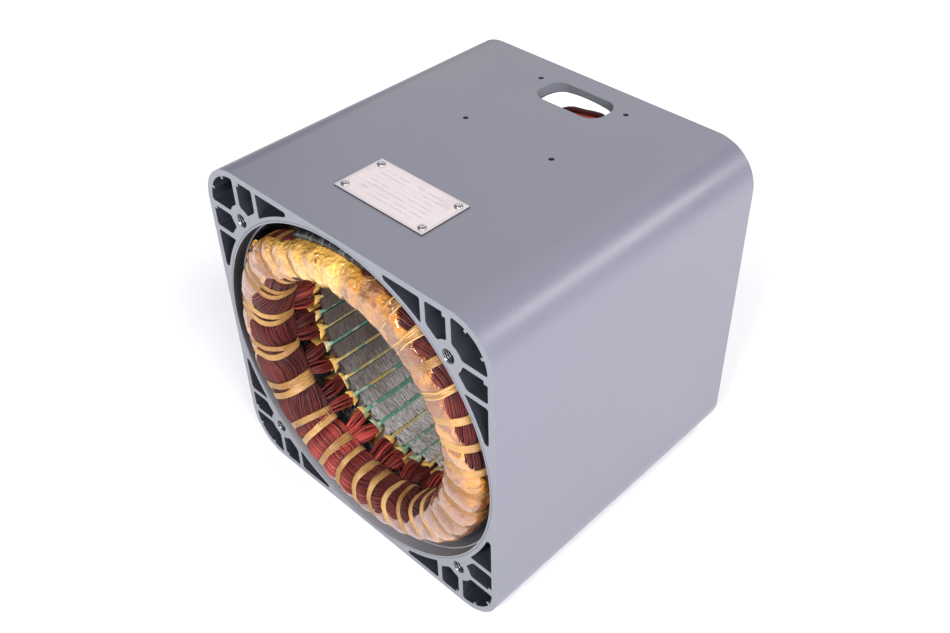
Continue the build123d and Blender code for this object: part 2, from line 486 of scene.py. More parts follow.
def core_finish():
    """Grey stacked sheet edges with fine lines and varnish stains, and painted shade on the upper teeth."""
    material, tree, shader = finish("core_steel", roughness=0.5, metallic=0.35)
    place = object_place(tree)
    lines = noise(object_place(tree, (150, sheet_lines, 150)), 1.0, 3, 0.75)
    streaks = noise(object_place(tree, (170, 800, 170)), 1.0, 3, 0.7)
    stains = noise(place, 26, 5)
    steel = mixed(fade(lines, 0.36, 0.62), (0.14, 0.13, 0.125), (0.98, 0.94, 0.91))
    steel = mixed(fade(streaks, 0.52, 0.70, 0.0, 0.7), steel, (0.10, 0.085, 0.075))
    color = mixed(fade(stains, 0.48, 0.72, 0.0, 0.7), steel, (0.15, 0.115, 0.085))
    axes = axes_of(place)
    # Painted shade: the teeth higher up and further left are painted darker brown.
    rise = minus(axes["Z"], axis_z)
    upper = minus(times(rise, 0.8), times(axes["X"], 0.6))
    color = mixed(fade(upper, *painted_shade_band, 0.0, 0.88), color, (0.068, 0.043, 0.035))
    give(shader, "Base Color", color)
    bump(shader, plus(lines, streaks), 0.35, 0.15 * MM)
    return material


dress("stator_core", core_finish())

# %% [markdown]
# New pieces all end the same way: the bmesh becomes an object at the origin, it gets a finish, it rides on
# the part and the solids that it stands for are hidden. Where its faces don't all look outwards yet, they are
# turned first.

# %% From bmesh to piece
merge_distance = 0.01 * MM


def as_piece(name, bm, material, replaced=(), turn_outwards=False):
    """Object made from a bmesh, riding on the part."""
    if turn_outwards:
        bmesh.ops.recalc_face_normals(bm, faces=bm.faces)
    mesh = bpy.data.meshes.new(name)
    bm.to_mesh(mesh)
    bm.free()
    for face in mesh.polygons:
        face.use_smooth = True
    mesh.materials.append(material)
    piece = bpy.data.objects.new(name, mesh)
    bpy.context.scene.collection.objects.link(piece)
    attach(piece, "root")
    if replaced:
        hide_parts(*replaced)
    print(name, len(mesh.polygons), "faces")


def spread(rng, amount):
    """Random amount to either side of zero."""
    return rng.uniform(-amount, amount)


# %% [markdown]
# Many soft or thin pieces here are sheets bent over something: paper, film, cord. Each starts as a
# flat grid from bmesh, and a function gives every point of the grid its place from two shares, one
# along the sheet and one across it. Thickness comes last, with solidify.

# %% Sheets over a surface
def sheet(bm, columns, rows, place, thickness=None, paint=None):
    """Grid of faces laid where place puts its two shares from 0 to 1, with a thickness or paint if asked."""
    made = bmesh.ops.create_grid(bm, x_segments=columns, y_segments=rows, size=0.5)["verts"]
    faces = list(dict.fromkeys(face for vert in made for face in vert.link_faces))
    for vert in made:
        along, across = vert.co.x + 0.5, vert.co.y + 0.5
        vert.co = place(along, across)
        if paint:
            paint(vert, along, across)
    if thickness:
        bmesh.ops.recalc_face_normals(bm, faces=faces)
        bmesh.ops.solidify(bm, geom=faces, thickness=thickness)
    return made


print("sheet helper ready")

# %% [markdown]
# The overhang is a thick ring of wire with a rounded section. A place on its skin is a run along the
# section, from its inner foot over the rim to its outer foot, and a turn round the bore. The section
# is four arcs joined by straight runs.

# %% Section of the overhang
ring_low = 82.6 * MM
ring_high = 117.6 * MM
ring_foot = 20.5 * MM
ring_rim = 46.4 * MM
rim_radius = 12.5 * MM
foot_radius = 7.0 * MM
ring_middle = Vector((100.0 * MM, 33.0 * MM))
arc_steps = 12


def ring_section():
    """Fine points of the section in radius and depth, with the run to each."""
    arcs = (
        (ring_low + foot_radius, ring_foot + foot_radius, foot_radius, 270, 180),
        (ring_low + rim_radius, ring_rim - rim_radius, rim_radius, 180, 90),
        (ring_high - rim_radius, ring_rim - rim_radius, rim_radius, 90, 0),
        (ring_high - foot_radius, ring_foot + foot_radius, foot_radius, 0, -90),
    )
    points = []
    for radius, depth, size, first, last in arcs:
        for step in range(arc_steps + 1):
            turn = math.radians(first + (last - first) * step / arc_steps)
            points.append(Vector((radius + size * math.cos(turn), depth + size * math.sin(turn))))
    runs = [0.0]
    for before, after in zip(points, points[1:]):
        runs.append(runs[-1] + (after - before).length)
    return points, runs


section_points, section_runs = ring_section()
skin_run = section_runs[-1]


def section_place(run):
    """Point of the section at a run, and the way out of the ring there."""
    index, share = interval(section_runs, min(max(run, 0.0), skin_run))
    before, after = section_points[index - 1], section_points[index]
    along = (after - before).normalized()
    return before.lerp(after, share), Vector((-along.y, along.x))


print("run over the ring's section:", round(skin_run / MM, 1), "mm")

# %% [markdown]
# Cord pulls the ring in over every tooth, so the skin is drawn towards the middle of the section there.
# A hand-wound ring isn't quite regular: at the left the loops of cord stand in pairs and the ring leans
# out, and at the top of the open end it stands off the bore.

# %% Shape of the overhang
waist_share = 0.12
pair_turn = 92
pair_half = 32
pair_shift = 2.7
top_turn = 9
top_half = 36
top_pull = 0.36
left_turn = 82
left_half = 50
left_lean = 0.14


def loop_turn(loop):
    """Turn of one loop of cord: over its tooth, but drawn to its neighbour at the left of the ring."""
    turn = slot_pitch * (loop + 0.5)
    left = max(0.0, min(1.0, 2 - abs(turn - pair_turn) / pair_half))
    return turn + pair_shift * left * (1 if loop % 2 else -1)


def waist(degrees):
    """How far the cord pulls the ring in: one at a loop of cord, none halfway between."""
    pull = 0.0
    for turn in loop_turns:
        away = abs(turn_from(turn, degrees))
        if away < slot_pitch / 2:
            pull = max(pull, math.cos(math.pi * away / slot_pitch) ** 3)
    return pull


def drawn_in(end, radius, degrees):
    """Radius on the outer half of the ring, drawn in at the front's top and let out at its left."""
    if end == "rear":
        return radius
    pull = 0.0
    for turn, half, amount in ((top_turn, top_half, top_pull), (left_turn, left_half, -left_lean)):
        away = abs(turn_from(turn, degrees)) / half
        pull += amount * eased(max(0.0, min(1.0, 2 - 2 * away)))
    return radius - pull * max(0.0, radius - ring_middle.x)


def on_ring(end, run, degrees, lift, hold=1.0):
    """Point over the skin of the overhang at one end."""
    spot, out = section_place(run)
    spot = ring_middle + (spot - ring_middle) * (1 - waist_share * waist(degrees) * hold) + out * lift
    return around(drawn_in(end, spot.x, degrees), degrees, out_from_core(end, spot.y))


loop_turns = [loop_turn(loop) for loop in range(slot_count)]
print("loops of cord from", loop_turns[0], "to", loop_turns[-1], "degrees")

# %% [markdown]
# The wires are what makes a winding look like one. Each is a bevelled curve, the natural way to make a round
# wire along a path, turned into a mesh and joined with its neighbours. A number kept at each point lets the
# finish vary from wire to wire and along a wire, as enamel and varnish do, and it also carries painted light
# and painted shade.

# %% Wires from paths
wire_radius = 0.56 * MM


def smooth_path(points, steps):
    """Points of a curve that passes through the given ones."""
    ends = [points[0]] + points + [points[-1]]
    path = []
    for i in range(len(points) - 1):
        a, b, c, d = ends[i:i + 4]
        for step in range(steps):
            t = step / steps
            bend = (2 * a - 5 * b + 4 * c - d) * t ** 2 + (3 * b - a - 3 * c + d) * t ** 3
            path.append(0.5 * (2 * b + (c - a) * t + bend))
    path.append(points[-1])
    return path


def wires(rows, radius=wire_radius):
    """Bmesh of round wires from rows of a path, the tints of its points and a thickness in wires."""
    curve = bpy.data.curves.new("wires", "CURVE")
    curve.dimensions = "3D"
    curve.bevel_depth = radius
    curve.bevel_resolution = 1
    for path, tints, thickness in rows:
        spline = curve.splines.new("POLY")
        spline.points.add(len(path) - 1)
        for point, spot in zip(spline.points, path):
            point.co = (*spot, 1)
            point.radius = thickness
    holder = bpy.data.objects.new("wires", curve)
    mesh = bpy.data.meshes.new_from_object(holder)
    bm = bmesh.new()
    bm.from_mesh(mesh)
    layer = bm.verts.layers.float.new("tint")
    all_tints = [tint for path, tints, thickness in rows for tint in tints]
    sides = len(bm.verts) // len(all_tints)
    for index, vert in enumerate(bm.verts):
        vert[layer] = all_tints[index // sides]
    bpy.data.objects.remove(holder)
    bpy.data.curves.remove(curve)
    bpy.data.meshes.remove(mesh)
    return bm


def wire_finish():
    """Copper under red enamel, from bright red to the brown of thick varnish, with painted light and shade
    carried by the tint.
    """
    material, tree, shader = finish("wire_enamel", roughness=0.32)
    shader.inputs["Specular IOR Level"].default_value = 0.2
    tint = attribute(tree, "tint")
    patches = minus(noise(object_place(tree), 24, 3), 0.5)
    share = plus(tint, patches)
    # The tint carries painted light and painted shade as well as each wire's own tone.
    color = mixed(fade(share, 0.0, 0.6), (0.036, 0.008, 0.007), (0.125, 0.020, 0.017))
    color = mixed(fade(share, 0.6, 1.2), color, (0.52, 0.075, 0.060))
    give(shader, "Base Color", color)
    return material


wire_enamel = wire_finish()
print("wire finish ready")

# %% [markdown]
# On the ring the wires lie side by side, about a diameter apart. They sweep up and down the section as they
# go round, since they cross from coil to coil, so each row wanders by a few sine waves. At the bottom left
# the tint is raised as painted light, where strong light falls on the enamel, and at the cord's waists it is
# lowered as painted shade.

# %% Ring wires
wire_pitch = 1.12 * MM
ring_step = 2.0
sweep = 7.0 * MM
painted_light_turn = 157
painted_light_half = 26


def painted_light(degrees):
    """Painted light: one at the bottom left, where strong light falls on the enamel, none elsewhere."""
    away = abs(turn_from(painted_light_turn, degrees)) / painted_light_half
    return max(0.0, 1 - away * away)


def ring_rows(rng):
    """Run, wander, lift and tint of each wire that goes all the way round."""
    count = int(skin_run / wire_pitch)
    rows = []
    for index in range(count):
        rows.append({
            "run": (index + 0.5) * skin_run / count,
            "waves": rng.randint(3, 11),
            "phase": rng.uniform(0, 2 * math.pi),
            "wander": rng.uniform(0.1, 0.55) * MM,
            "lift": rng.uniform(-0.2, 0.12) * MM,
            "tint": rng.uniform(0.12, 0.62),
        })
    return rows


def ring_strand(end, row, start, stop):
    """Path and tints of one wire over part of the ring."""
    steps = round((stop - start) / ring_step)
    path = []
    tints = []
    for step in range(steps + 1):
        degrees = start + (stop - start) * step / steps
        turn = math.radians(degrees)
        swing = math.sin(row["waves"] * turn + row["phase"])
        drift = math.sin(5 * turn + 0.7) + 0.6 * math.sin(8 * turn + 2.0)
        run = row["run"] + row["wander"] * swing
        run += sweep * drift * math.sin(math.pi * row["run"] / skin_run)
        path.append(on_ring(end, run, degrees, row["lift"] * (1 + swing)))
        # Painted light at the bottom left and painted shade at the cord's waists go into the tint.
        tints.append(row["tint"] + 0.55 * painted_light(degrees) - 0.3 * waist(degrees))
    return path, tints, 1


print("wires side by side on the ring:", int(skin_run / wire_pitch))

# %% [markdown]
# From each slot a bundle of wires, the leg, rises into the ring's foot. It swells past the paper and
# leans to its neighbour. Only its outside shows, so wires go round that, with thick ones inside to fill
# it. Each station up the leg gives a depth in millimetres, a share of the slot's width, a bulge towards
# the bore in millimetres and a share of the lean.

# %% Legs
leg_low = 85.0 * MM
leg_depth = 17.0 * MM
leg_half = 3.4 * MM
leg_stations = (
    (-2, 0.85, 0, 0), (4, 0.95, 0.8, 0.05), (9, 1.22, 2.3, 0.25), (14, 1.3, 2.5, 0.55),
    (19, 1.1, 0.8, 0.85), (25, 0.8, -1.5, 1.1), (31, 0.5, -3, 1.3),
)
leg_front_wires = 8
leg_side_wires = 7
leg_wire_step = 1.3 * MM
leg_side_most = 1.15
leg_path_steps = 2
filler_height_shares = (0.18, 0.42, 0.65)
filler_thickness = 4.6


def leg_strand(end, slot, lean, twist, side, height, tint, thickness=1):
    """One wire of a leg: side runs across the slot from -1 to 1, height up its depth from 0 to 1."""
    centre = slot_pitch * slot
    low = leg_low + leg_depth * height
    points = []
    for depth, swell, bulge, share in leg_stations:
        across = max(-leg_side_most, min(leg_side_most, side + twist * share))
        turn = centre + math.degrees(across * leg_half * swell / low) + lean * share
        points.append(around(low - bulge * MM * (1 - height), turn, out_from_core(end, depth * MM)))
    path = smooth_path(points, leg_path_steps)
    return path, [tint] * len(path), thickness


def leg(end, slot, rng):
    """Wires round the outside of one leg, with thick ones inside to fill it."""
    lean = rng.uniform(0.8, 3.2) * (1 if slot % 2 else -1)
    # Painted light at the bottom left brightens the tint of each leg.
    tone = rng.uniform(0.3, 0.75) + 0.35 * painted_light(slot_pitch * slot)
    rows = []
    for index in range(leg_front_wires):
        side = -1 + 2 * index / (leg_front_wires - 1)
        twist = spread(rng, 0.5)
        rows.append(leg_strand(end, slot, lean, twist, side, spread(rng, 0.03), tone + spread(rng, 0.3)))
    for index in range(1, leg_side_wires + 1):
        for side in (-1, 1):
            height = index * leg_wire_step / leg_depth
            rows.append(leg_strand(end, slot, lean, spread(rng, 0.2), side, height, tone + spread(rng, 0.3)))
    # The fillers inside get a dark tint, as painted shade in the gaps between wires.
    for height in filler_height_shares:
        rows.append(leg_strand(end, slot, lean, 0, 0, height, 0.1, filler_thickness))
    return rows


print("wires round a leg:", leg_front_wires + 2 * leg_side_wires)

# %% [markdown]
# Each end has twelve coil heads. A head is the wires of its share of the ring, the legs of its three slots
# and a body, dark as painted shade, so that no gap between wires shows through. The body is the ring's
# section, drawn in a little and spun through the head's share of a turn.

# %% Coil heads
body_sink = 0.7 * MM
body_outline = 25
body_steps = 12


def head_body(end, start, stop):
    """Closed body under the wires of one head, dark as painted shade."""
    bm = bmesh.new()
    outline = []
    for index in range(body_outline):
        spot, out = section_place(skin_run * index / (body_outline - 1))
        spot -= out * body_sink
        outline.append(bm.verts.new(around(spot.x, start, out_from_core(end, spot.y))))
    face = bm.faces.new(outline)
    bmesh.ops.spin(
        bm, geom=[face] + list(face.edges) + outline, cent=(0, 0, axis_z), axis=(0, -1, 0),
        angle=math.radians(stop - start), steps=body_steps,
    )
    bmesh.ops.remove_doubles(bm, verts=bm.verts, dist=merge_distance)
    middle_y = out_from_core(end, ring_middle.y)
    for vert in bm.verts:
        radius = math.hypot(vert.co.x, vert.co.z - axis_z)
        degrees = angle_of(vert.co)
        pull = 1 - waist_share * waist(degrees)
        drawn_y = middle_y + (vert.co.y - middle_y) * pull
        radius = ring_middle.x + (radius - ring_middle.x) * pull
        vert.co = around(drawn_in(end, radius, degrees), degrees, drawn_y)
    bmesh.ops.recalc_face_normals(bm, faces=bm.faces)
    return bm


def joined(bm, other):
    """Adds another bmesh to a bmesh."""
    carrier = bpy.data.meshes.new("carrier")
    other.to_mesh(carrier)
    other.free()
    bm.from_mesh(carrier)
    bpy.data.meshes.remove(carrier)
    return bm


def coil_head(end, number, rows, rng):
    """One coil head: dark body, ring wires and legs."""
    first_slot = number * slots_per_head
    start = (first_slot - 0.5) * slot_pitch
    stop = start + slots_per_head * slot_pitch
    strands = [ring_strand(end, row, start, stop) for row in rows]
    for slot in range(first_slot, first_slot + slots_per_head):
        strands += leg(end, slot, rng)
    # The body's points have no tint of their own, so they take the darkest colour, as painted shade.
    bm = joined(wires(strands), head_body(end, start, stop))
    name = f"{end}_winding_{number + 1:02d}"
    node = f"{end}_coil_head_{number + 1:02d}"
    as_piece(name, bm, wire_enamel, [node])


for end in core_faces:
    rng = random.Random(f"winding {end}")
    rows = ring_rows(rng)
    for number in range(head_count):
        coil_head(end, number, rows, rng)

# %% [markdown]
# What covers the wires changes round the ring. These tables, from the top counter-clockwise, say where the
# varnish skin starts and ends across the section, how amber it is, how far it bridges the waists under the
# cord, and how much of its colour it keeps under painted shade, one for all of it.

# %% Tables round the ring
skin_turns = (0, 35, 62, 88, 115, 140, 172, 200, 222, 245, 264, 285, 320, 350, 360)
skin_start_shares = (0.22, 0.34, 0.45, 0.52, 0.62, 0.66, 0.55, 0.47, 0.38, 0.24, 0.16, 0.14, 0.14, 0.17, 0.22)
skin_stop_shares = (0.90, 0.76, 0.80, 0.86, 0.92, 0.93, 0.93, 0.94, 0.96, 0.97, 0.84, 0.62, 0.64, 0.80, 0.90)
amber_shares = (1.3, 1.1, 0.3, 0.2, 0.2, 0.1, 0.0, 0.0, 0.15, 0.4, 0.5, 0.55, 0.75, 0.9, 1.3)
bridge_shares = (0.7, 0.5, 0.2, 0.05, 0.0, 0.0, 0.0, 0.15, 0.5, 0.55, 0.2, 0.1, 0.5, 0.75, 0.7)
shade_shares = (1.0, 0.88, 0.78, 1.0, 1.0, 0.95, 0.95, 0.95, 0.9, 0.70, 0.72, 1.0, 0.72, 0.72, 1.0)


def at_turn(shares, degrees):
    """Value of a table of shares at a turn, eased between its entries."""
    index, share = interval(skin_turns, degrees % 360)
    return shares[index - 1] + (shares[index] - shares[index - 1]) * eased(share)


print("tables of", len(skin_turns), "turns")

# %% [markdown]
# Cord ties the ring together over every tooth. A loop of it lies flat, four to seven millimetres wide, in
# four strands. It is a sheet that runs along the ring's section from foot to foot and closes across its
# own thin profile, given in millimetres. Neighbours draw together at the inner foot, where the cord was
# knotted in pairs, and some loops at the bottom left spread into a strap there.

# %% Lacing
cord_profile = (
    (-2.9, -0.3), (-2.6, 0.6), (-2.0, 0.85), (-1.4, 0.0), (-0.9, 0.95), (-0.4, 0.9), (0, -0.1),
    (0.5, 0.95), (1.0, 0.9), (1.5, 0.0), (2.1, 0.85), (2.6, 0.6), (2.9, -0.3), (0, -0.9), (-2.9, -0.3),
)
cord_columns = 30
cord_lift = 1.15 * MM
cord_merge = 0.02 * MM
wide_turns = (255, 340)
strap_turns = (100, 215)
strap_share = 0.36
knot_pull = 2.4
knot_share = 0.34


def cord_loop(bm, end, loop, rng):
    """One flat loop of cord round the ring."""
    centre = loop_turns[loop]
    tilt = spread(rng, 1.2)
    gather = spread(rng, 0.8) + (knot_pull if loop % 2 else -knot_pull)
    wide = wide_turns[0] < centre < wide_turns[1]
    swell = rng.uniform(0.92, 1.2) if wide else rng.uniform(0.68, 0.95)
    strap = rng.choice((0, 0.5, 1.6)) * (1 if strap_turns[0] < centre < strap_turns[1] else 0)
    wobble = rng.uniform(0, 6)
    # Each loop's tint is random, plus painted shade where the shade table is low.
    tint = rng.uniform(0, 1) + 1.6 * (1 - at_turn(shade_shares, centre))
    layer = bm.verts.layers.float["tint"]

    def place(along, across):
        offset, lift = cord_profile[round(across * (len(cord_profile) - 1))]
        spot, out = section_place(skin_run * along)
        spot = ring_middle + (spot - ring_middle) * (1 - waist_share) + out * (cord_lift + lift * MM)
        turn = centre + tilt * (along - 0.5) + gather * max(0.0, knot_share - along) / knot_share
        turn += 0.3 * math.sin(9 * along + wobble)
        width = swell * (1 + strap * max(0.0, strap_share - along) / strap_share)
        turn += math.degrees(offset * width * MM / spot.x)
        return around(drawn_in(end, spot.x, turn), turn, out_from_core(end, spot.y))

    for vert in sheet(bm, cord_columns, len(cord_profile) - 1, place):
        vert[layer] = tint


print("loops of cord with", cord_columns * (len(cord_profile) - 1), "faces each")

# %% [markdown]
# The cord is woven and soaked in varnish, so its finish mixes two ambers by a broad noise and the tint of
# each loop, and a fine noise gives the weave as colour and bump. The tint is partly random and partly painted
# shade from the shade table.

# %% Cord finish
def cord_finish():
    """Woven cord soaked in amber varnish, some loops darker than others, by chance and by painted shade."""
    material, tree, shader = finish("lacing_cord", roughness=0.34)
    shader.inputs["Specular IOR Level"].default_value = 0.4
    place = object_place(tree)
    tint = attribute(tree, "tint")
    soak = plus(noise(place, 34, 4), times(tint, 0.25))
    weave = noise(place, 1100, 2)
    color = mixed(fade(soak, 0.4, 0.85), (0.56, 0.33, 0.125), (0.27, 0.12, 0.032))
    color = mixed(fade(weave, 0.48, 0.7, 0, 0.4), color, (0.55, 0.32, 0.11))
    give(shader, "Base Color", color)
    bump(shader, weave, 0.3, 0.2 * MM)
    return material


lacing_cord = cord_finish()
for end in core_faces:
    rng = random.Random(f"lacing {end}")
    bm = bmesh.new()
    bm.verts.layers.float.new("tint")
    for loop in range(slot_count):
        cord_loop(bm, end, loop, rng)
    bmesh.ops.remove_doubles(bm, verts=bm.verts, dist=cord_merge)
    as_piece(f"{end}_lacing_bands", bm, lacing_cord, [f"{end}_lacing"], True)

# %% [markdown]
# After lacing, the ring is dipped in varnish, and tape and varnish dry to a lumpy skin on its rim. It
# is thick and amber along the top and the right, thin and mauve where wire shows through at the left
# and the bottom. One long sheet follows the tables round the ring.

# %% Varnish skin
skin_columns, skin_rows = 432, 22
film_base = 0.95 * MM
film_least = 0.8 * MM
film_most = 2.2 * MM
film_thickness = 0.25 * MM
large_lump = 9 * MM
small_lump = 3.6 * MM
edge_dip = 1.4 * MM
edge_share = 0.07
fine_tear = 6 * MM
fine_tear_share = 0.014
coarse_tear = 19 * MM
coarse_tear_share = 0.04
scallop_share = 0.03
outer_share = 0.6
amber_edge_turns = (40, 135)


def lumps(degrees, run, seed, size):
    """Smooth uneven height at a place on the ring, from a 3D noise."""
    turn = math.radians(degrees)
    radius = ring_middle.x
    point = Vector((radius * math.cos(turn), radius * math.sin(turn), run)) / size
    return mathutils_noise.noise(point + Vector((seed, 0, 0)))


def skin_lift(degrees, run, amber, edge, seed):
    """Height of the film over the wires."""
    calm = (1 - 0.6 * waist(degrees)) * MM
    lift = film_base + (0.15 + 0.8 * amber) * calm * lumps(degrees, run, seed, large_lump)
    lift += (0.1 + 0.9 * amber) * calm * lumps(degrees, run, seed + 5, small_lump)
    lift = max(film_least, min(lift, film_most))
    return lift - edge_dip * max(0, 1 - edge / edge_share)


def varnish_skin(end, seed):
    """Lumpy film over the rim of one end."""
    bm = bmesh.new()
    tone = bm.verts.layers.float.new("tone")
    shade = bm.verts.layers.float.new("shade")

    def place(along, across):
        degrees = 360 * along
        ragged = fine_tear_share * lumps(degrees, 0, seed, fine_tear)
        ragged += coarse_tear_share * lumps(degrees, 0, seed + 9, coarse_tear)
        scallop = scallop_share * (waist(degrees) - 0.4)
        start = at_turn(skin_start_shares, degrees) + ragged - scallop
        stop = at_turn(skin_stop_shares, degrees) - ragged + scallop
        run = skin_run * (start + (stop - start) * across)
        amber = at_turn(amber_shares, degrees)
        lift = skin_lift(degrees, run, amber, min(across, 1 - across), seed)
        return on_ring(end, run, degrees, lift, 1 - at_turn(bridge_shares, degrees))

    def paint(vert, along, across):
        degrees = 360 * along
        outer = max(0.0, across - outer_share) / (1 - outer_share)
        amber_edge = 0.5 if amber_edge_turns[0] < degrees < amber_edge_turns[1] else 0.1
        vert[tone] = at_turn(amber_shares, degrees) + outer * amber_edge
        # Painted shade: the table's shade, darker still at the cord's waists.
        vert[shade] = at_turn(shade_shares, degrees) - 0.2 * waist(degrees)

    sheet(bm, skin_columns, skin_rows, place, paint=paint)
    bmesh.ops.remove_doubles(bm, verts=bm.verts, dist=merge_distance)
    bmesh.ops.recalc_face_normals(bm, faces=bm.faces)
    bmesh.ops.solidify(bm, geom=bm.faces[:], thickness=film_thickness)
    return bm


print("film from", film_least / MM, "to", film_most / MM, "mm over the wires")

# %% [markdown]
# Dried varnish is glossy, so its finish has a smooth coat over creases. The tone kept at each point says how
# thick it is: amber and yellow where thick, tan and mauve where thin, with stains between. The shade kept at
# each point is painted shade: it darkens the varnish in places round the ring and under the cord.

# %% Varnish finish
def varnish_finish():
    """Glossy dried varnish: amber and yellow where thick, tan and mauve where thin, darkened by painted
    shade.
    """
    material, tree, shader = finish("varnish", roughness=0.16, coat=1.0)
    shader.inputs["Specular IOR Level"].default_value = 0.4
    shader.inputs["Coat Roughness"].default_value = 0.03
    place = object_place(tree)
    tone = attribute(tree, "tone")
    big = noise(place, 30, 2)
    small = noise(place, 110, 2)
    patch = noise(object_place(tree, None, (1.0, 0.4, 0.2)), 55, 3)
    amber = mixed(fade(big, 0.42, 0.54), (0.31, 0.082, 0.006), (0.66, 0.265, 0.028))
    amber = mixed(fade(patch, 0.52, 0.60, 0, 0.8), amber, (0.55, 0.255, 0.125))
    amber = mixed(fade(small, 0.56, 0.70, 0, 0.6), amber, (0.17, 0.045, 0.008))
    thin = mixed(fade(big, 0.38, 0.56), (0.48, 0.225, 0.098), (0.25, 0.118, 0.118))
    thin = mixed(fade(small, 0.52, 0.72, 0, 0.6), thin, (0.50, 0.25, 0.075))
    loose = times(minus(big, 0.5), 0.7)
    share = plus(tone, loose)
    color = mixed(fade(share, 0.15, 0.75), thin, amber)
    color = mixed(fade(share, 0.95, 1.35, 0, 0.8), color, (0.98, 0.57, 0.11))
    stain = fade(noise(object_place(tree, None, (0.3, 1.1, 0.6)), 62, 2), 0.52, 0.58, 0, 0.75)
    stain = times(stain, fade(tone, 0.9, 1.3, 1, 0.1))
    color = mixed(stain, color, (0.25, 0.078, 0.022))
    # Painted shade: the kept shade mixes the colour towards near black.
    shade = attribute(tree, "shade")
    color = mixed(shade, (0.045, 0.02, 0.016), color)
    give(shader, "Base Color", color)
    crease = gap(noise(place, 170, 1.5), 0.5)
    rough = times(crease, plus(tone, 0.35))
    bump(shader, plus(rough, times(small, 0.2)), 1.0, 3.6 * MM)
    return material


varnish = varnish_finish()
for end, seed in (("front", 3.0), ("rear", 41.0)):
    as_piece(f"{end}_varnish_skin", varnish_skin(end, seed), varnish)

# %% [markdown]
# Drips of varnish stand on the outer edge, most of them at the left, and loose strings of the cord lie
# across the film at the upper right. The drips are small spheres, pulled out of round, each with its turn,
# its share of the run and its size in millimetres. The strings are thin wires.

# %% Drips and strings
drip_spots = (
    (50, 0.74, 2.4), (55, 0.77, 3.3), (60, 0.75, 2.7), (65, 0.79, 3.2), (70, 0.77, 2.3),
    (75, 0.80, 2.6), (82, 0.82, 2.2), (90, 0.84, 2.4), (97, 0.86, 1.6), (104, 0.88, 1.5),
    (8, 0.62, 1.6), (192, 0.80, 1.2), (214, 0.74, 1.3), (236, 0.6, 1.4),
)
drip_lift = 0.3 * MM
drip_lump = 1.6 * MM
string_turns = (303.6, 305.2, 306.6, 323.8, 325, 326.6, 333.8, 335.6, 344.2, 346)
string_radius = 0.7 * MM
string_lift = 0.95 * MM
string_start_share = 0.32
string_steps = 24


def drips(end):
    """Lumps of dried varnish on the ring."""
    bm = bmesh.new()
    tone = bm.verts.layers.float.new("tone")
    shade = bm.verts.layers.float.new("shade")
    for degrees, share, size in drip_spots:
        centre = on_ring(end, skin_run * share, degrees, drip_lift)
        made = bmesh.ops.create_icosphere(bm, subdivisions=3, radius=size * MM)["verts"]
        for vert in made:
            pull = 1 + 0.35 * mathutils_noise.noise(vert.co / drip_lump + Vector((degrees, 0, 0)))
            vert.co = centre + vert.co * pull
            vert[tone] = 1.0
            vert[shade] = 1.0
    return bm


def strings(end, rng):
    """Loose strings across the film."""
    rows = []
    for turn in string_turns:
        lean = spread(rng, 2.5)
        reach = rng.uniform(0.4, 0.6)
        path = []
        for step in range(string_steps + 1):
            along = step / string_steps
            degrees = turn + lean * along + 0.3 * math.sin(7 * along + turn)
            run = skin_run * (string_start_share + reach * along)
            path.append(on_ring(end, run, degrees, string_lift, 0.8))
        rows.append((path, [0.0] * len(path), 1))
    return wires(rows, string_radius)


for end in core_faces:
    as_piece(f"{end}_varnish_drips", drips(end), varnish, turn_outwards=True)
    bm = strings(end, random.Random(f"strings {end}"))
    as_piece(f"{end}_loose_strings", bm, lacing_cord)

# %% [markdown]
# A few insulated leads rise from the rear winding into the cable opening and wait for a terminal box, and
# a dark sleeved lead lies over the top of the front winding. They are thicker wires, each a smooth path
# through a few places in millimetres: X, Y and Z for the leads, and a radius, a turn and Y for the sleeve.

# %% Leads
lead_radius = 2.0 * MM
lead_places = (
    (-22, 85, 238), (-13, 93, 246), (-5, 97, 249.3), (6, 98, 250.8),
    (15, 99, 252), (22, 99, 252), (27, 97, 247), (30, 90, 238),
)
lead_offsets = ((0, 0, 0, 0.05), (1.5, -2.5, -3, 0.95), (-2, -5, -5.5, 0.0), (3, 2.5, -3.5, 0.1))
sleeve_radius = 3.0 * MM
sleeve_places = (
    (106, 36, -106), (112, 28, -113), (113.5, 18, -116), (113.5, 6, -116.5),
    (113.5, -6, -116), (111, -18, -111), (105, -26, -104),
)
path_steps = 5


def lead_rows():
    """Short leads that bow up into the cable opening, side by side."""
    rows = []
    for dx, dy, dz, tint in lead_offsets:
        points = [Vector((x + dx, y + dy, z + dz)) * MM for x, y, z in lead_places]
        path = smooth_path(points, path_steps)
        rows.append((path, [tint] * len(path), 1))
    return rows


def sleeve_rows():
    """Dark sleeved lead over the outside of the front winding, near the top."""
    points = [around(r * MM, degrees, y * MM) for r, degrees, y in sleeve_places]
    path = smooth_path(points, path_steps)
    return [(path, [0.0] * len(path), 1)]


def sleeve_finish():
    """Black varnished sleeve with grey ribs across it."""
    material, tree, shader = finish("lead_sleeve", roughness=0.35)
    ribs = noise(object_place(tree, (420, 60, 60)), 1.0, 2)
    color = mixed(fade(ribs, 0.5, 0.68), (0.012, 0.012, 0.014), (0.13, 0.13, 0.14))
    give(shader, "Base Color", color)
    bump(shader, ribs, 0.5, 0.5 * MM)
    return material


as_piece("cable_leads", wires(lead_rows(), lead_radius), wire_enamel)
as_piece("lead_sleeve", wires(sleeve_rows(), sleeve_radius), sleeve_finish())

# %% [markdown]
# Paper lines each slot, and folds out past the core as a flared cuff round the wire, so that the core's
# sharp edge can't cut the enamel. The cuff is a sheet whose outline is the slot's own, a little wider
# at its end, with the two corners by the bore drawn to points.

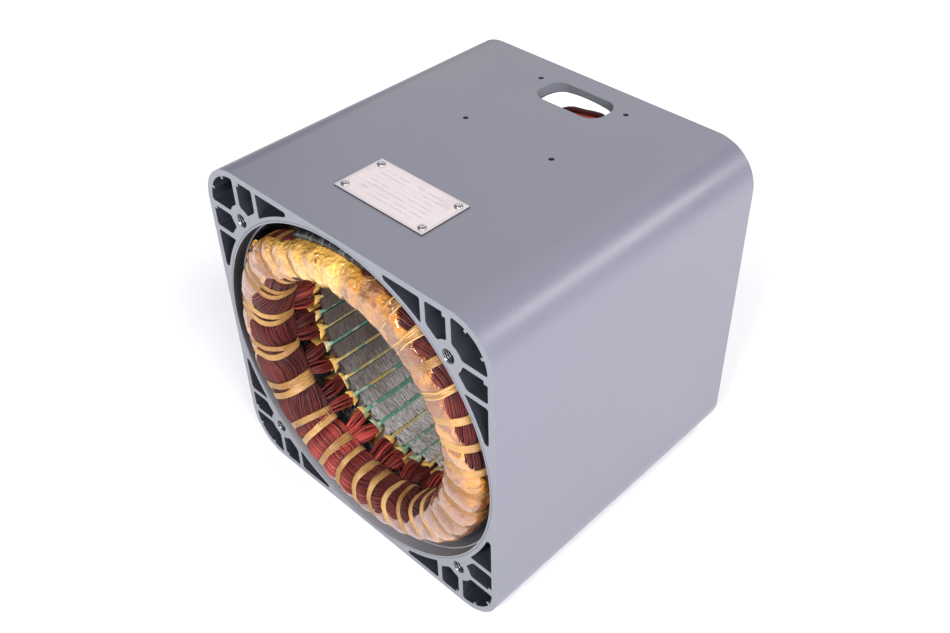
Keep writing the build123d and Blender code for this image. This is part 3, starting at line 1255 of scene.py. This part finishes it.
# %% Slot paper
cuff_reach = 8.5 * MM
paper_low = 84.6 * MM
paper_high = 104.5 * MM
paper_columns, paper_rows = 10, 20
paper_thickness = 0.3 * MM
paper_gap = 0.3 * MM
tooth_half = 3.6 * MM
lined_share = 0.6
wall_share = 0.4
floor_share = 0.1


def slot_half(radius):
    """Half the slot's width at a radius, between teeth with parallel sides."""
    return radius * math.tan(math.radians(slot_pitch / 2)) - tooth_half


def in_slot(along, core_share):
    """End nearest to a share of a piece's length, how far past the core it is there, and its Y inside."""
    end = "front" if along < 0.5 else "rear"
    past = max(0.0, abs(along - 0.5) * 2 - core_share) / (1 - core_share)
    y = core_low.y + (core_high.y - core_low.y) * (along - (1 - core_share) / 2) / core_share
    return end, past, y


def liner(bm, slot, rng):
    """Folded paper of one slot, from the cuff at the front to the cuff at the rear."""
    flares = {}
    for end in core_faces:
        flares[end] = (rng.uniform(1.0, 2.0), rng.uniform(0.75, 1.1), spread(rng, 0.8))

    def place(along, across):
        side = 1 if across > 0.5 else -1
        climb = min(1.0, min(across, 1 - across) / wall_share)
        radius = paper_low + (paper_high - paper_low) * climb
        half = slot_half(radius) - paper_gap
        if climb == 1.0:
            half *= abs(across - 0.5) / floor_share
        end, past, y = in_slot(along, lined_share)
        flare, reach, skew = flares[end]
        if past:
            y = out_from_core(end, cuff_reach * reach * past * (1.25 - 0.45 * climb))
        widen = flare * MM * past ** 1.5
        radius += widen * (0.5 * climb - 0.9 * (1 - climb))
        half += widen * (0.9 - 0.2 * climb)
        turn = math.degrees((side * half + skew * MM * past) / radius)
        return around(radius, slot_pitch * slot + turn, y)

    sheet(bm, paper_columns, paper_rows, place, paper_thickness)


def paper_finish():
    """Yellow insulating paper under varnish, darker where it soaked."""
    material, tree, shader = finish("slot_paper", roughness=0.38, coat=0.5)
    shader.inputs["Coat Roughness"].default_value = 0.2
    place = object_place(tree)
    soak = noise(place, 70, 4)
    color = mixed(fade(soak, 0.35, 0.68), (0.62, 0.37, 0.09), (0.30, 0.12, 0.02))
    give(shader, "Base Color", color)
    bump(shader, noise(place, 420, 3), 0.25, 0.2 * MM)
    return material


rng = random.Random("paper")
bm = bmesh.new()
for slot in range(slot_count):
    liner(bm, slot, rng)
as_piece("slot_paper_liners", bm, paper_finish(), ["slot_liners"])

# %% [markdown]
# A strip closes the mouth of each slot. Between the teeth only its face shows, teal or cream under the
# varnish, with a painted shadow along its sides where it meets the teeth. Past the core it spreads into a
# fan, wide enough to meet its neighbours, whose corners curl towards the bore.

# %% Slot strips
strip_radius = 81.9 * MM
strip_half = 2.1 * MM
fan_half = 6.4 * MM
fan_reach = 7.8 * MM
strip_columns, strip_rows = 24, 6
strip_thickness = 0.35 * MM
closed_share = 0.5


def strip(bm, slot, rng):
    """Closing strip of one slot with a fan at each end."""
    layer = bm.verts.layers.float["tint"]
    side_layer = bm.verts.layers.float["side"]
    tint = rng.choice((0.15, 0.3, 0.5, 0.72, 0.9))
    before = set(bm.verts)
    fans = {}
    for end in core_faces:
        fans[end] = (rng.uniform(0.7, 1.1), rng.uniform(0.65, 1.15), rng.uniform(0.3, 1.6), spread(rng, 1.2))

    def place(along, across):
        side = 2 * across - 1
        end, past, y = in_slot(along, closed_share)
        wide, reach, curl, skew = fans[end]
        if past:
            y = out_from_core(end, fan_reach * reach * past * (0.72 + 0.28 * side * side))
        spread_out = past ** 0.7
        half = strip_half + (fan_half * wide - strip_half) * spread_out
        radius = strip_radius + (1.6 * (1 - side * side) - curl * side * side) * MM * spread_out
        turn = math.degrees((side * half + skew * MM * past) / radius)
        return around(radius, slot_pitch * slot + turn, y)

    sheet(bm, strip_columns, strip_rows, place, strip_thickness)
    for vert in bm.verts:
        if vert not in before:
            vert[layer] = tint
            # The side across the strip, about -1 to 1 at its edges between the teeth, places its painted
            # shadow.
            turn = turn_from(slot_pitch * slot, angle_of(vert.co))
            vert[side_layer] = math.radians(turn) * strip_radius / strip_half


def strip_finish():
    """Teal and cream strips: a tint for each, blotched with amber varnish, amber at some fans, with painted
    shadow along their sides between the teeth.
    """
    material, tree, shader = finish("wedge_strip", roughness=0.36, coat=0.4)
    shader.inputs["Coat Roughness"].default_value = 0.2
    place = object_place(tree)
    tint = attribute(tree, "tint")
    along = minus(noise(object_place(tree, (60, 40, 60)), 1.0, 4), 0.5)
    share = plus(tint, times(along, 1.9))
    color = mixed(fade(share, 0.42, 0.58), (0.50, 0.36, 0.13), (0.10, 0.30, 0.215))
    pale = noise(place, 160, 3)
    color = mixed(fade(pale, 0.52, 0.62, 0, 0.8), color, (0.56, 0.57, 0.44))
    axes = axes_of(place)
    front = fade(axes["Y"], core_low.y - 5 * MM, core_low.y - 0.5 * MM, 1, 0)
    rear = fade(axes["Y"], core_high.y + 0.5 * MM, core_high.y + 5 * MM)
    past = plus(front, rear)
    fan = times(past, fade(share, 0.5, 1.0, 1, 0.25))
    color = mixed(fan, color, (0.72, 0.42, 0.085))
    # Painted shadow: near black along the strip's sides, wider on one side than the other, and none on the
    # fans.
    side = attribute(tree, "side")
    painted_side_shadow = sum_of("MAXIMUM", fade(side, 0.45, 0.65), fade(side, -0.9, -0.75, 1, 0))
    painted_side_shadow = sum_of("MAXIMUM", minus(painted_side_shadow, past), 0)
    color = mixed(painted_side_shadow, color, (0.018, 0.013, 0.010))
    give(shader, "Base Color", color)
    bump(shader, pale, 0.25, 0.2 * MM)
    return material


rng = random.Random("strips")
bm = bmesh.new()
bm.verts.layers.float.new("tint")
bm.verts.layers.float.new("side")
for slot in range(slot_count):
    strip(bm, slot, rng)
as_piece("slot_closing_strips", bm, strip_finish(), ["slot_wedges"])

# %% [markdown]
# The holes in the corner bosses are threaded. A thread is one small triangle carried round a helix: spin
# does that when each of its steps also moves along the axis. A thin ring lines the mouth of each hole.

# %% Threads
thread_pitch = 1.5 * MM
thread_turns = 7
thread_steps = 24
thread_major = 5.0 * MM
thread_minor = 4.2 * MM
thread_start = 0.4 * MM
rim_profile = ((thread_major - 0.35 * MM, 0.45 * MM), (thread_major - 0.02 * MM, 0.02 * MM))
boss_place = 94.99 * MM
round_steps = 32


def spun(bm, points, centre, axis):
    """Profile of points joined by edges and spun once round an axis."""
    verts = [bm.verts.new(point) for point in points]
    edges = [bm.edges.new(pair) for pair in zip(verts, verts[1:])]
    bmesh.ops.spin(
        bm, geom=verts + edges, cent=centre, axis=axis, angle=2 * math.pi, steps=round_steps, use_merge=True,
    )


def thread(bm, x, z, end_y, way):
    """Helical ridge inside one hole, with the rim of its mouth."""
    start_y = end_y - way * thread_start
    corners = [(thread_major, 0), (thread_minor, 0.5), (thread_major, 1)]
    verts = [bm.verts.new((x + r, start_y - way * share * 0.5 * thread_pitch, z)) for r, share in corners]
    edges = [bm.edges.new((verts[0], verts[1])), bm.edges.new((verts[1], verts[2]))]
    bmesh.ops.spin(
        bm, geom=verts + edges, cent=(x, start_y, z), axis=(0, 1, 0),
        dvec=(0, -way * thread_pitch / thread_steps, 0),
        angle=2 * math.pi * thread_turns, steps=thread_turns * thread_steps,
    )
    spun(bm, [(x + r, end_y - way * depth, z) for r, depth in rim_profile], (x, end_y, z), (0, 1, 0))


def worn_metal(name, dark, light, metallic):
    """Bare metal of small pieces, scuffed and a little uneven."""
    material, tree, shader = finish(name, metallic=metallic)
    scuffs = noise(object_place(tree), 800, 3)
    color = mixed(fade(scuffs, 0.35, 0.65), dark, light)
    give(shader, "Base Color", color)
    give(shader, "Roughness", fade(scuffs, 0.3, 0.7, 0.22, 0.36))
    bump(shader, scuffs, 0.2, 0.1 * MM)
    return material


thread_metal = worn_metal("thread_metal", (0.15, 0.154, 0.168), (0.25, 0.256, 0.272), 0.85)
for end, end_y, way in (("front", housing_low.y, -1), ("rear", housing_high.y, 1)):
    bm = bmesh.new()
    for x in (-boss_place, boss_place):
        for z in (axis_z - boss_place, axis_z + boss_place):
            thread(bm, x, z, end_y, way)
    as_piece(f"{end}_boss_threads", bm, thread_metal, turn_outwards=True)

# %% [markdown]
# The nameplate is thin bright metal, held by four domed rivets. Its face is left blank but for ruled lines,
# drawn by its finish, which also paints shadow along its edge and on its sides. Each rivet is a short profile
# of a dome spun once round its own axis.

# %% Nameplate and rivets
plate_low, plate_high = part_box("nameplate")
line_gap = 4.2 * MM
ruled_half = (27 * MM, 14.5 * MM)
painted_shadow_edge = 0.5 * MM
dome_profile = ((1.0, 0.0), (1.0, 0.25), (0.9, 0.45), (0.72, 0.8), (0.5, 0.97), (0.3, 0.92), (0.0, 0.7))


def plate_finish():
    """Brushed pale metal with faint ruled lines, and painted shadow: a darker band round its edge and
    near-black sides.
    """
    material, tree, shader = finish("plate_metal", roughness=0.36, metallic=0.55)
    place = object_place(tree)
    axes = axes_of(place)
    brush = noise(object_place(tree, (40, 1500, 40), (0, 0, 0.1)), 1.0, 2)
    wear = noise(place, 75, 5)
    color = mixed(brush, (0.55, 0.475, 0.48), (0.71, 0.625, 0.63))
    color = mixed(fade(wear, 0.5, 0.72, 0, 0.55), color, (0.46, 0.41, 0.42))
    middle_x, middle_y = (plate_low.x + plate_high.x) / 2, (plate_low.y + plate_high.y) / 2
    rows = sum_of("PINGPONG", minus(axes["Y"], middle_y), line_gap / 2)
    ruled = fade(rows, 0.10 * MM, 0.3 * MM, 1, 0)
    ruled = times(ruled, near(axes["X"], middle_x, ruled_half[0]))
    ruled = times(ruled, near(axes["Y"], middle_y, ruled_half[1]))
    broken = fade(noise(place, 160, 2), 0.42, 0.56, 0.15, 0.8)
    color = mixed(times(ruled, broken), color, (0.22, 0.20, 0.21))
    # Painted shadow: a darker band round the plate's edge.
    side_x = near(axes["X"], middle_x, (plate_high.x - plate_low.x) / 2 - painted_shadow_edge)
    side_y = near(axes["Y"], middle_y, (plate_high.y - plate_low.y) / 2 - painted_shadow_edge)
    color = mixed(times(side_x, side_y), (0.40, 0.375, 0.38), color)
    # Painted shadow: faces that don't look up, the plate's sides, are painted near black.
    normal = axes_of(add(tree, "ShaderNodeNewGeometry").outputs["Normal"])
    color = mixed(fade(normal["Z"], 0.3, 0.6), (0.02, 0.019, 0.02), color)
    give(shader, "Base Color", color)
    bump(shader, plus(wear, times(brush, 0.2)), 0.35, 0.4 * MM)
    return material


def rivet(node):
    """Domed rivet head with a rim and a small dimple, on the plate."""
    low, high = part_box(node)
    centre = (low + high) / 2
    radius = (high.x - low.x) / 2
    height = high.z - low.z
    bm = bmesh.new()
    points = [(centre.x + r * radius, centre.y, low.z + h * height) for r, h in dome_profile]
    spun(bm, points, (centre.x, centre.y, low.z), (0, 0, 1))
    bmesh.ops.remove_doubles(bm, verts=bm.verts, dist=merge_distance)
    return bm


dress("nameplate", plate_finish())
rivet_metal = worn_metal("rivet_metal", (0.31, 0.30, 0.31), (0.49, 0.48, 0.49), 1.0)
for number in range(1, 5):
    node = f"nameplate_rivet_{number}"
    as_piece(f"rivet_{number}", rivet(node), rivet_metal, [node], True)

# %% [markdown]
# The last cell says that the script has run to its end.

# %% End
print("scene ready")
